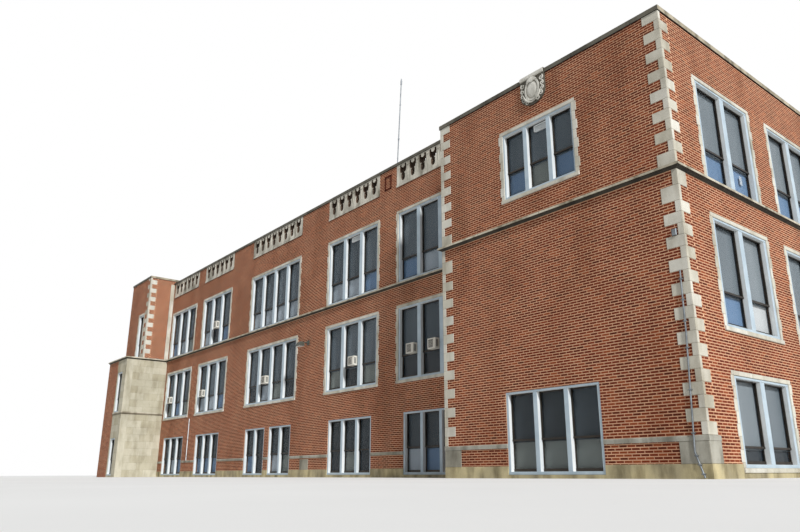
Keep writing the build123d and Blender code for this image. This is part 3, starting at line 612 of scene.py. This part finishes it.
bed_face, stone_face = jamb_face + bed_lift, jamb_face + stone_lift
for name, (outer_left, left, right, outer_right), zs, has_sill in surrounds:
    facade, bottom, head, top = facades[name], zs[0], zs[-2], zs[-1]
    jamb_low = zs[1] if has_sill else bottom
    stone_bed.sheet(facade, (outer_left, outer_right), (head, top), bed_face)
    ends = split(outer_left, outer_right, long_stone)
    for u in zip(ends, ends[1:]):
        lay_stone(window_stones, facade, u, (head, top), 0.0, stone_face)
        if has_sill:
            sill = (sill_back, sill_face + stone_lift)
            lay_stone(window_stones, facade, u, (bottom, jamb_low), *sill)
    low, high = shrunk((jamb_low, head), thinnest_stone)
    levels = [jamb_low] + [z for z in stone_joints if low < z < high] + [head]
    for number, z in enumerate(zip(levels, levels[1:])):
        reach = tooth if number % 2 else 0.0
        for inner, outer, tip in ((left, outer_left, outer_left - reach),
                                  (right, outer_right, outer_right + reach)):
            stone_bed.sheet(facade, sorted((inner, outer)), z, bed_face)
            lay_stone(window_stones, facade, sorted((inner, tip)), z, 0.0, stone_face)
            if reach:
                teeth[name].append((*sorted((outer, tip)), *z))
window_stones.piece("window_stones", limestone, "limestone")
print(sum(len(rows) for rows in teeth.values()), "teeth in the brickwork")

# %% [markdown]
# The corner stones, base blocks, band and the pavilion's ashlar follow their own
# faces in the model: each stretch of face is cut into stones of about the
# right height and length, with the upright joints staggered.

# %% Wall stones
wall_stones, low_stones, ashlar_stones = Blocks(), Blocks(), Blocks()


def dress_face(blocks, node, name, out, height, length):
    """Covers one upright face of a stone node with stones of about one height and length."""
    facade = facades[name]
    edges = upright_edges(node, facade, out)
    levels = sorted({z for edge in edges for z in edge[1:3]})
    row = 0
    for low_z, high_z in zip(levels, levels[1:]):
        cuts = split(low_z, high_z, height)
        for z in zip(cuts, cuts[1:]):
            row += 1
            for u0, u1 in stretches(edges, sum(z) / 2):
                ends = split(u0, u1, length)
                if row % 2 and len(ends) > 2:
                    half = (ends[1] - ends[0]) / 2
                    ends = [u0] + [end + half for end in ends[:-1]] + [u1]
                stone_bed.sheet(facade, (u0, u1), z, out + bed_lift)
                for u in zip(ends, ends[1:]):
                    lay_stone(blocks, facade, u, z, out, out + stone_lift)


quoin, block, band, squared = (stone_height, 0.6), (0.47, 0.9), (0.12, 1.3), (0.42, 0.8)
band_face, strip_face = 0.022, 0.035
around_wing = ("wing_front", "wing_right", "wing_back", "wing_left")
for name in around_wing:
    dress_face(wall_stones, "wing_quoins", name, jamb_face, *quoin)
for name in around_wing + ("range_front", "range_back"):
    dress_face(low_stones, "base_blocks", name, jamb_face, *block)
    dress_face(low_stones, "band_course", name, band_face, *band)
dress_face(ashlar_stones, "pavilion_stone_front", "porch_front", 0.0, *squared)
dress_face(ashlar_stones, "pavilion_stone_side", "pavilion_side", 0.0, *squared)
for name in ("pavilion_front", "pavilion_side"):
    dress_face(wall_stones, "pavilion_quoins", name, jamb_face, *quoin)
dress_face(wall_stones, "pavilion_quoins", "pavilion_side", strip_face, stone_height * 2, 0.6)
wall_stones.piece("wall_stones", limestone, "limestone")
low_stones.piece("low_stones", splashed_stone, "limestone")
ashlar_stones.piece("ashlar_stones", ashlar, "limestone")
stone_bed.piece("stone_joints", joint_mortar, "limestone")

# %% [markdown]
# Bricks could be drawn by a texture, but at a school's corner the eye expects
# the joints to be real. So each brick is a small block standing 2 mm out of the
# mortar, in running bond, and is cut where the wall face or a stone ends.

# %% Bricklaying
brick_module, bed_joint, head_joint, brick_proud = 0.222, 0.024, 0.02, 0.002
smallest_cut, thinnest_cut = 0.035, 0.008


def without_teeth(runs, blocked, z):
    """Runs of brickwork with the window stones' teeth taken out."""
    for u0, u1, z0, z1 in blocked:
        if z0 < z < z1:
            pairs = [pair for a, b in runs for pair in ((a, min(b, u0)), (max(a, u1), b))]
            runs = [(a, b) for a, b in pairs if b > a]
    return runs


def clipped(runs, start, end):
    """What of start to end lies on the runs, with cut bricks too small to lay left out."""
    pieces = [(max(start, a), min(end, b)) for a, b in runs if a < end and b > start]
    return [piece for piece in pieces if piece[1] - piece[0] > smallest_cut]


def lay_bricks(blocks, node, facade, blocked, lowest=0.0):
    """Running bond over one face of a wall node, round the blocked boxes of u and z."""
    edges = upright_edges(node, facade)
    if not edges:
        return
    levels = {z for edge in edges for z in edge[1:3]} | {z for box in blocked for z in box[2:]}
    bottom, top = max(lowest, min(edge[1] for edge in edges)), max(edge[2] for edge in edges)
    span = (edges[0][0], edges[-1][0])
    for row, level in enumerate(brick_rows):
        z0, z1 = max(level + bed_joint / 2, bottom), min(level + course - bed_joint / 2, top)
        if z1 - z0 < thinnest_cut:
            continue
        inside = [z for z in sorted(levels) if z0 + thinnest_cut < z < z1 - thinnest_cut]
        breaks = [z0] + inside + [z1]
        layers = [(a, b) for a, b in zip(breaks, breaks[1:]) if b - a > thinnest_cut]
        middles = [(a + b) / 2 for a, b in layers]
        runs = [without_teeth(stretches(edges, z), blocked, z) for z in middles]
        shift = brick_module / 2 if row % 2 else 0.0
        for column in range(int(span[0] // brick_module) - 1, int(span[1] // brick_module) + 2):
            u0 = column * brick_module + shift + head_joint / 2
            u1 = u0 + brick_module - head_joint
            tone = dice.random()
            cuts = [clipped(run, u0, u1) for run in runs]
            heights = layers
            if len(cuts) > 1 and all(cut == cuts[0] for cut in cuts):
                cuts, heights = cuts[:1], [(layers[0][0], layers[-1][1])]
            for cut, height in zip(cuts, heights):
                for u in cut:
                    blocks.lay(facade, u, height, (0.0, brick_proud), tone)


brickwork = {
    "wing_front": ["wing_front_wall"],
    "wing_right": ["wing_front_wall", "wing_right_wall", "wing_back_wall"],
    "wing_back": ["wing_back_wall"],
    "wing_left": ["wing_front_wall", "wing_left_returns", "wing_left_parapet", "wing_back_wall"],
    "range_front": ["range_front_wall", "range_parapet_piers"],
    "range_back": ["range_back_wall"],
    "pavilion_front": ["pavilion_brick_front"],
    "porch_front": ["pavilion_brick_front"],
    "pavilion_side": ["pavilion_brick_front", "pavilion_brick_side", "pavilion_side_parapet"],
}
for name, walls in brickwork.items():
    bricks = Blocks()
    for wall in walls:
        lay_bricks(bricks, wall, facades[name], teeth[name])
    bricks.piece(name + "_bricks", brick, "brick")

# %% [markdown]
# The parapets are brick on the roof side too. Those faces start at the roof and
# end where the next wall meets them, so the blocked boxes lie past their ends.

# %% Roof side of the parapets
(wing_x0, wing_y0, _), (wing_x1, wing_y1, roof_top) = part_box("wing_roof")
(end_x0, end_y0, _), (end_x1, _, _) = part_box("pavilion_roof")
range_y1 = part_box("range_roof")[1].y
pier_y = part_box("range_parapet_piers")[1].y
inner_faces = [
    ("wing_front_wall", wing_x1, wing_y0, west, wing_x1 - wing_x0),
    ("wing_right_wall", wing_x1, wing_y1, south, wing_y1 - wing_y0),
    ("wing_back_wall", wing_x0, wing_y1, east, wing_x1 - wing_x0),
    ("wing_left_returns", wing_x0, wing_y0, north, wing_y1 - wing_y0),
    ("wing_left_parapet", wing_x0, wing_y0, north, wing_y1 - wing_y0),
    ("range_parapet_piers", left_x, pier_y, west, range_width),
    ("range_back_wall", end_x0, range_y1, east, left_x - end_x0),
    ("pavilion_brick_front", end_x1, end_y0, west, end_x1 - end_x0),
    ("pavilion_brick_side", end_x1, range_y1, south, range_y1 - end_y0),
    ("pavilion_side_parapet", end_x1, range_y1, south, range_y1 - end_y0),
]
bricks = Blocks()
for wall, x, y, along, length in inner_faces:
    past_ends = [(-1.0, 0.0, 0.0, wall_top), (length, length + 1.0, 0.0, wall_top)]
    lay_bricks(bricks, wall, Facade(x, y, along, length), past_ends, roof_top)
bricks.piece("roof_side_bricks", brick, "brick")

# %% [markdown]
# One pier of the parapet carries a small frame of bricks that stand proud.

# %% Brick frame on a pier
frame_half, frame_bar, frame_proud, frame_z = 0.21, 0.06, 0.022, (11.2, 11.8)
pier = [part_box("parapet_panel_2")[1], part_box("parapet_panel_1")[0]]
pier_u = sum(range_front.local(corner)[0] for corner in pier) / 2
frame_u = (pier_u - frame_half, pier_u + frame_half)
bars = [(u, frame_z) for u in both_ends(frame_u, frame_bar)]
bars += [(frame_u, z) for z in both_ends(frame_z, frame_bar)]
brick_frame = Blocks()
for u, z in bars:
    brick_frame.lay(range_front, u, z, (0.0, frame_proud))
brick_frame.piece("pier_brick_frame", brick, "brick")

# %% [markdown]
# Each light has two sashes: a tall one above and a short one below, which meet at a rail about two
# thirds of the way down. The sashes are bronze bars set back in the white box. A grey shade is
# drawn down behind the upper pane, and what shows in the lower pane differs from room to room:
# blinds, papers, a painted reflection of the sky, and the painted shade of unlit rooms. On the
# sunlit right face the shades are painted paler, a painted highlight.

# %% Sashes, shades and panes
# Share of a light's height above its meeting rail, and range of its shade's tones
storeys = {"ground": (0.58, (0.0, 0.15)), "second": (0.68, (0.3, 0.55)),
           "third": (0.68, (0.3, 0.55))}
special_shares = {("wing_front", "third"): 0.6, ("wing_front", "ground"): 0.6,
                  ("wing_right", "ground"): 0.8, ("wing_right", "third"): 0.67}
stile, meeting_rail, bottom_rail = 0.035, 0.05, 0.075
# How far out the sashes, the shades and the backings of the panes are
sash_back, upper_face, lower_face, meeting_face, foot_face = -0.16, -0.115, -0.14, -0.105, -0.13
shade_out, backing_out, notice_out = -0.2, -0.22, -0.165
margin, shade_overlap, hem, hem_proud = 0.03, 0.04, (0.06, 0.035), 0.012
second_level, third_level = 2.0, 6.0
sashes, shades, backs, trims = Blocks(), Blocks(), Blocks(), Blocks()


def hang_sashes(facade, light, low_z, high_z, share, shade_tone, back_tone):
    """Both sashes of one light, with the shade and the backing behind its glass."""
    meeting = high_z - share * (high_z - low_z)
    for u in both_ends(light, stile):
        sashes.lay(facade, u, (meeting, high_z), (sash_back, upper_face))
        sashes.lay(facade, u, (low_z, meeting), (sash_back, lower_face))
    half = meeting_rail / 2
    for z, face in (((high_z - stile, high_z), upper_face),
                    ((meeting - half, meeting + half), meeting_face),
                    ((low_z, low_z + bottom_rail), foot_face)):
        sashes.lay(facade, light, z, (sash_back, face))
    width = shrunk(light, -margin)
    shade = (meeting - shade_overlap, high_z + margin)
    shades.sheet(facade, width, shade, shade_out, shade_tone)
    hem_z, hem_out = [meeting - drop for drop in hem], (shade_out, shade_out + hem_proud)
    shades.lay(facade, width, hem_z, hem_out, shade_tone)
    backs.sheet(facade, width, (low_z - margin, meeting), backing_out, back_tone)


def cover_frame(facade, us, zs):
    """Cover strips on the front of the white box, one for each bar of it, in the blue-grey of
    painted shade.
    """
    edge, upright_face, rail_face = 0.004, frame_face + 0.006, frame_face + 0.012
    for u in zip(us[0::2], us[1::2]):
        trims.lay(facade, shrunk(u, edge), zs[1:3], (frame_face, upright_face), 0, 0.002)
    u = shrunk((us[0], us[-1]), edge)
    for z in (zs[2:], zs[:2]):
        trims.lay(facade, u, shrunk(z, edge), (frame_face, rail_face), 0, 0.003)


# Shades on the sunlit right face take the palest tones: a painted highlight.
painted_sunlit_tones = (0.8, 1.0)
lower_panes = {
    "wing_front": {("third", 0): [painted_sky_reflection, grey_blind, painted_sky_reflection],
                   ("ground", 0): [grey_blind] * 3},
    "wing_right": {("third", 0): [painted_sky_reflection] * 2, ("third", 1): [painted_sky_reflection] * 2,
                   ("second", 0): [painted_sky_reflection, white_board], ("ground", 0): [painted_room_shade] * 2},
    "range_front": {("third", 4): [painted_sky_reflection, painted_pale_sky_reflection, painted_pale_sky_reflection],
                    ("third", 3): [painted_pale_sky_reflection, painted_pale_sky_reflection, painted_sky_reflection],
                    ("third", 2): [painted_pale_sky_reflection] * 4, ("second", 4): [painted_room_shade] * 3,
                    ("second", 3): [grey_blind, painted_room_shade, grey_blind]},
}
windows.sort(key=lambda window: (window[0], window[1][0]))
rooms = {}
for name, us, zs in windows:
    facade, low_z, high_z = facades[name], zs[1], zs[2]
    level = "ground" if low_z < second_level else "second" if low_z < third_level else "third"
    lights = list(zip(us[1:-1:2], us[2:-1:2]))
    room = rooms.setdefault((name, level), [])
    share, tones = storeys[level]
    share = special_shares.get((name, level), share)
    if name == "wing_right":
        tones = painted_sunlit_tones
    chosen = lower_panes.get(name, {}).get((level, len(room)), [])
    room.append((lights, high_z))
    for index, light in enumerate(lights):
        if index < len(chosen):
            back = chosen[index]
        else:
            back = dice.choice([painted_sky_reflection, painted_pale_sky_reflection, grey_blind, painted_room_shade])
        hang_sashes(facade, light, low_z, high_z, share, dice.uniform(*tones), back)
    cover_frame(facade, us, zs)
notice_u, notice_z = (3.67, 3.82), (7.64, 7.89)
backs.sheet(facades["wing_right"], notice_u, notice_z, notice_out, white_board)
sashes.piece("bronze_sashes", bronze, "window_frame")
shades.piece("roller_shades", shade_cloth, "window_glass")
backs.piece("lower_pane_backings", pane_backs, "window_glass")
trims.piece("frame_covers", cover_strip_painted_shade, "window_frame")

# %% [markdown]
# The air conditioners are pressed steel boxes. On each front, thin blades over a dark sheet of
# painted shade take up the left part. On the side, two upright dark sheets are the painted shade of
# two slots.

# %% Air conditioners
blade_pitch, blade_height, blade_proud, first_blade = 0.026, 0.007, 0.008, 0.055
# Insets from the edges of the case
grille_u, grille_inset, plate_u, plate_inset = (0.04, 0.29), 0.045, (0.31, 0.03), 0.05
slot_starts, slot_width, slot_inset, skin, lip = (-0.1, -0.045), 0.035, 0.06, 0.001, 0.02
grille_shade_sheets, blades = Blocks(), Blocks()
for points in solids_of("air_conditioners"):
    us, outs, zs = zip(*(range_front.local(point) for point in points))
    u, z, out = (min(us), max(us)), (min(zs), max(zs)), max(outs)
    grille = [u[0] + edge for edge in grille_u]
    # The dark sheets behind the blades and on the side are painted shade.
    grille_shade_sheets.sheet(range_front, grille, shrunk(z, grille_inset), out + skin)
    for number in range(int((z[1] - z[0] - 2 * plate_inset) / blade_pitch)):
        foot = z[0] + first_blade + number * blade_pitch
        blades.lay(range_front, grille, (foot, foot + blade_height), (out, out + blade_proud))
    plate = (u[0] + plate_u[0], u[1] - plate_u[1])
    blades.lay(range_front, plate, shrunk(z, plate_inset), (out, out + 0.006), 0, 0.002)
    blades.lay(range_front, u, (z[1] - lip, z[1]), (out, out + 0.004))
    side = Facade(*range_front.point(u[1], 0, 0).xy, north, out)
    for start in slot_starts:
        grille_shade_sheets.sheet(side, (start, start + slot_width), shrunk(z, slot_inset), skin)
grille_shade_sheets.piece("cooler_grille_shade", cooler_shadow, "cooler_case")
blades.piece("cooler_blades", cooler_case, "cooler_case")

# %% [markdown]
# Two top panes have been swapped for white vents with slanting slats, the kind
# that keeps rain out. Each slat is one short block in front of the pane.

# %% Vents in the top panes
vent_height, vent_bar, vent_top, vent_shift = 0.2, 0.03, 0.04, 0.3
slat_feet, slat = (0.06, 0.11), 0.02
vent_out = (sash_back, -0.095)
vents = Blocks()


def fit_vent(name, level, number, index):
    """A vent at the top of one light, over its right-hand part."""
    lights, head = rooms[name, level][number]
    left, right = lights[index]
    bottom = head - vent_top - vent_height
    width, height = (left + vent_shift * (right - left), right), (bottom, head - vent_top)
    bars = [(width, z) for z in both_ends(height, vent_bar)[::-1]]
    bars += [(u, height) for u in both_ends(width, vent_bar)]
    bars += [(shrunk(width, vent_bar), (bottom + foot, bottom + foot + slat)) for foot in slat_feet]
    for u, z in bars:
        vents.lay(facades[name], u, z, vent_out, 0, 0.004)


fit_vent("wing_front", "third", 0, 1)
fit_vent("range_front", "third", 3, 1)
vents.piece("pane_vents", white_enamel, "window_frame")

# %% [markdown]
# The carver cut an oval shield in a frame of rolling scrolls. A scroll is a
# spiral that grows a little at each turn. A curve with a round bevel draws one
# as a raised roll, half sunk in the stone behind it, and needs no sculpting.
# The bevel is one metre deep, so the radius at each point is in metres.

# %% Scrolls of the cartouche
shield_u = sum(u_span(wing_front, "cartouche")) / 2
shield_z, fan_z = 10.985, 11.2
thickness, thinning, tightening, rise, steps_per_turn = 0.024, 0.45, 0.82, 0.012, 9
# Place beside and above the middle, size, and angle at which the roll begins
scroll_table = [(0.35, 0.235, 0.085, 60), (0.365, 0.06, 0.075, 80), (0.365, -0.1, 0.075, 100),
                (0.32, -0.25, 0.08, 130), (0.19, -0.37, 0.085, 170)]


def empty_curve(name, material, bevel_resolution):
    """An empty curve object with a round bevel."""
    curve = bpy.data.curves.new(name, "CURVE")
    curve.dimensions = "3D"
    curve.resolution_u = 3
    curve.bevel_depth = 1.0
    curve.bevel_resolution = bevel_resolution
    curve.materials.append(material)
    made = place_object(name, curve)
    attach(made, "root")
    return curve


def add_line(curve, places, radii, kind="NURBS"):
    """One line through the given places, smooth unless it is a POLY line."""
    line = curve.splines.new(kind)
    line.points.add(len(places) - 1)
    for point, place, radius in zip(line.points, places, radii):
        point.co = (*place, 1.0)
        point.radius = radius
    line.order_u = 3
    line.use_endpoint_u = True


def add_scroll(curve, facade, centre, size, start, turns, out, hand, thickness):
    """A roll that winds in to its eye, from the start angle in degrees."""
    steps = int(turns * steps_per_turn)
    places, radii = [], []
    for step in range(steps + 1):
        share = step / steps
        angle = math.radians(start) + hand * 2 * math.pi * turns * share
        reach = size * (1 - tightening * share)
        u, z = centre[0] + reach * math.cos(angle), centre[1] + reach * math.sin(angle)
        places.append(facade.point(u, out + rise * share, z))
        radii.append(thickness * (1.0 - thinning * share))
    add_line(curve, places, radii)


carving = empty_curve("cartouche_scrolls", hollow_shaded_stone, 2)
for hand in (-1, 1):
    for beside, above, size, start in scroll_table:
        centre = (shield_u + hand * beside, shield_z + above)
        angle = start if hand > 0 else 180 - start
        add_scroll(carving, wing_front, centre, size, angle, 1.4, 0.055, -hand, thickness)
for ray in range(-3, 4):
    angle = math.radians(90 + 17 * ray)
    places = [wing_front.point(shield_u + reach * math.cos(angle), 0.1,
                               fan_z + reach * math.sin(angle)) for reach in (0.02, 0.095, 0.17)]
    add_line(carving, places, [thickness * share for share in (0.5, 0.8, 0.9)])
angles = [math.radians(degrees) for degrees in range(200, 341, 14)]
places = [wing_front.point(shield_u + 0.33 * math.cos(angle), 0.084,
                           shield_z + 0.41 * math.sin(angle)) for angle in angles]
add_line(carving, places, [0.9 * thickness] * len(places))
print(len(carving.splines), "rolls on the cartouche")

# %% [markdown]
# The pierced panels have waisted balusters. On each one the carver left a pair
# of small scrolls under the head, and a long drop below them.

# %% Scrolls of the parapet
carving = empty_curve("baluster_scrolls", carved_stone, 2)
scroll_size, scroll_reach, scroll_thickness = 0.042, 0.045, 0.014
panel_end, openings_per_metre, clear_of_end = 0.1, 1.66, 0.05
panel_out, scroll_level = 0.012, 11.9
drop_levels, drop_radii = (11.8, 11.6, 11.4), (0.012, 0.022, 0.006)
for number in range(1, 6):
    left, right = shrunk(u_span(range_front, f"parapet_panel_{number}"), panel_end)
    count = round((right - left) * openings_per_metre)
    for index in range(count + 1):
        u = left + (right - left) * index / count
        for hand, angle in ((-1, 180), (1, 0)):
            if left < u + hand * clear_of_end < right:
                centre = (u + hand * scroll_reach, scroll_level)
                add_scroll(carving, range_front, centre, scroll_size, angle, 1.0, panel_out, hand,
                           scroll_thickness)
        if 0 < index < count:
            places = [range_front.point(u, panel_out, z) for z in drop_levels]
            add_line(carving, places, drop_radii)
print(len(carving.splines), "rolls on the parapet")

# %% [markdown]
# A grey steel conduit runs down the corner of the wing, held by saddle clips,
# and a thin white one down a pier of the range. A lamp glass closes the mouth
# of the floodlight, and two collars stiffen the mast.

# %% Conduits, clips, lamp glass and collars
corner_route = [(0.184, 4.53), (0.209, 3.15), (0.328, 0.55), (0.16, 0.02)]
corner_out, corner_radius, corner_clip = 0.034, 0.02, (0.045, 0.012)
range_u, range_top, range_foot = 4.46, 3.19, 0.9
range_out, range_radius, range_clip = 0.03, 0.022, (0.05, 0.015)
box_u, box_z, box_out = (0.28, 0.16), (5.37, 5.53), 0.05
clips = Blocks()


def pipe(name, places, radius, material):
    """A bent tube through places, with closed ends."""
    curve = empty_curve(name, material, 3)
    curve.use_fill_caps = True
    add_line(curve, places, [radius] * len(places), "POLY")


def clip(facade, u, z, half_u, half_z, out):
    """A saddle clip around one spot."""
    clips.lay(facade, (u - half_u, u + half_u), (z - half_z, z + half_z), out, 0, 0.006)


places = [wing_front.point(wing_width - u, corner_out, z) for u, z in corner_route]
pipe("corner_conduit", places, corner_radius, galvanised)
places = [range_front.point(range_u, range_out, z) for z in (range_top, range_foot)]
pipe("range_conduit", places, range_radius, white_enamel)
for (u0, z0), (u1, z1) in zip(corner_route, corner_route[1:]):
    for share in (0.15, 0.5, 0.85):
        u, z = wing_width - (u0 + (u1 - u0) * share), z0 + (z1 - z0) * share
        clip(wing_front, u, z, *corner_clip, (0.014, corner_out + 0.022))
for share in (0.1, 0.5, 0.9):
    z = range_foot + share * (range_top - range_foot)
    clip(range_front, range_u, z, *range_clip, (0.0, 0.055))
clips.lay(wing_front, [wing_width - u for u in box_u], box_z, (0.0, box_out), 0, 0.012)
clips.piece("conduit_clips", galvanised, "mast")

_, lamp_out, lamp_foot = range_front.local(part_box("floodlight")[0])
rim, lens_depth, mouth = 0.02, 0.006, 0.26
lens_u = shrunk(u_span(range_front, "floodlight"), rim)
lens_z = (lamp_foot - lens_depth, lamp_foot + rim)
lens = Blocks()
lens.lay(range_front, lens_u, lens_z, shrunk((lamp_out - mouth, lamp_out), rim), 0, 0.004)
lens.piece("lamp_glass", lamp_glass, "mast")

mast_low, mast_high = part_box("roof_mast")
half_foot, lean = (mast_high.y - mast_low.y) / 2, math.radians(3.7)
mast_foot = Vector((mast_low.x + half_foot, mast_low.y + half_foot, mast_low.z))
mast_rise = (mast_high.z - mast_low.z) / math.cos(lean)
axis = Vector((math.sin(lean), 0, math.cos(lean))) * mast_rise
for name, start, end, radius in (("lower_mast_collar", 0.5, 0.515, 0.034),
                                 ("upper_mast_collar", 0.78, 0.79, 0.03),
                                 ("mast_finial", 0.95, 0.985, 0.034)):
    pipe(name, [mast_foot + axis * start, mast_foot + axis * end], radius, galvanised)

# %% [markdown]
# The picture was taken from close to the ground, looking up and along the
# front. The camera repeats that place and lens. The light is a plain soft
# studio light: a broad key from the right, as the low sun was, and an even sky.

# %% Camera, light and floor
camera_place = (27.1199, -23.0175, 0.1271)
yaw, pitch, roll = (math.radians(angle) for angle in (50.2105, 16.4787, -0.2151))
camera_data = bpy.data.cameras.new("camera")
camera_data.lens, camera_data.sensor_width = 30.922, 36.0
camera_data.shift_x, camera_data.shift_y = -0.0187, 0.0057
camera_data.clip_end = 500.0
camera = place_object("camera", camera_data)
turn = Matrix.Rotation(yaw, 4, "Z") @ Matrix.Rotation(math.pi / 2 + pitch, 4, "X")
camera.matrix_world = Matrix.Translation(camera_place) @ turn @ Matrix.Rotation(roll, 4, "Z")
scene.camera = camera

key_data = bpy.data.lights.new("key", "SUN")
key_data.energy = 3.6
key_data.angle = math.radians(5)
place_object("key", key_data).rotation_euler = (math.radians(58.5), 0, math.radians(74.5))

world = bpy.data.worlds.new("studio")
scene.world = world
world.use_nodes = True
sky = world.node_tree
sky.nodes.clear()
rays = add(sky, "LightPath").outputs
settings = {"operation": "MAXIMUM"}
first = add(sky, "Math", settings, {0: rays["Is Camera Ray"], 1: rays["Is Glossy Ray"]})
seen = add(sky, "Math", settings, {0: first.outputs[0], 1: rays["Is Transmission Ray"]})
soft = add(sky, "Background", {"Color": colour("#F4F6FA"), "Strength": 0.34})
white = add(sky, "Background", {"Color": colour("#FFFFFF"), "Strength": 1.0})
both = add(sky, "MixShader", links={0: seen.outputs[0], 1: soft.outputs[0], 2: white.outputs[0]})
add(sky, "OutputWorld", links={"Surface": both.outputs[0]})

half = 200.0
floor_mesh = bpy.data.meshes.new("studio_floor")
corners = [(-half, -half, 0), (half, -half, 0), (half, half, 0), (-half, half, 0)]
floor_mesh.from_pydata(corners, [], [(0, 1, 2, 3)])
floor = place_object("studio_floor", floor_mesh)
floor_mesh.materials.append(even_finish("pale_studio_floor", "#EDEDEB", "#E9E9E7", 3.0, 0.9))
scene.view_settings.view_transform = "Standard"
print("camera at", camera_place)
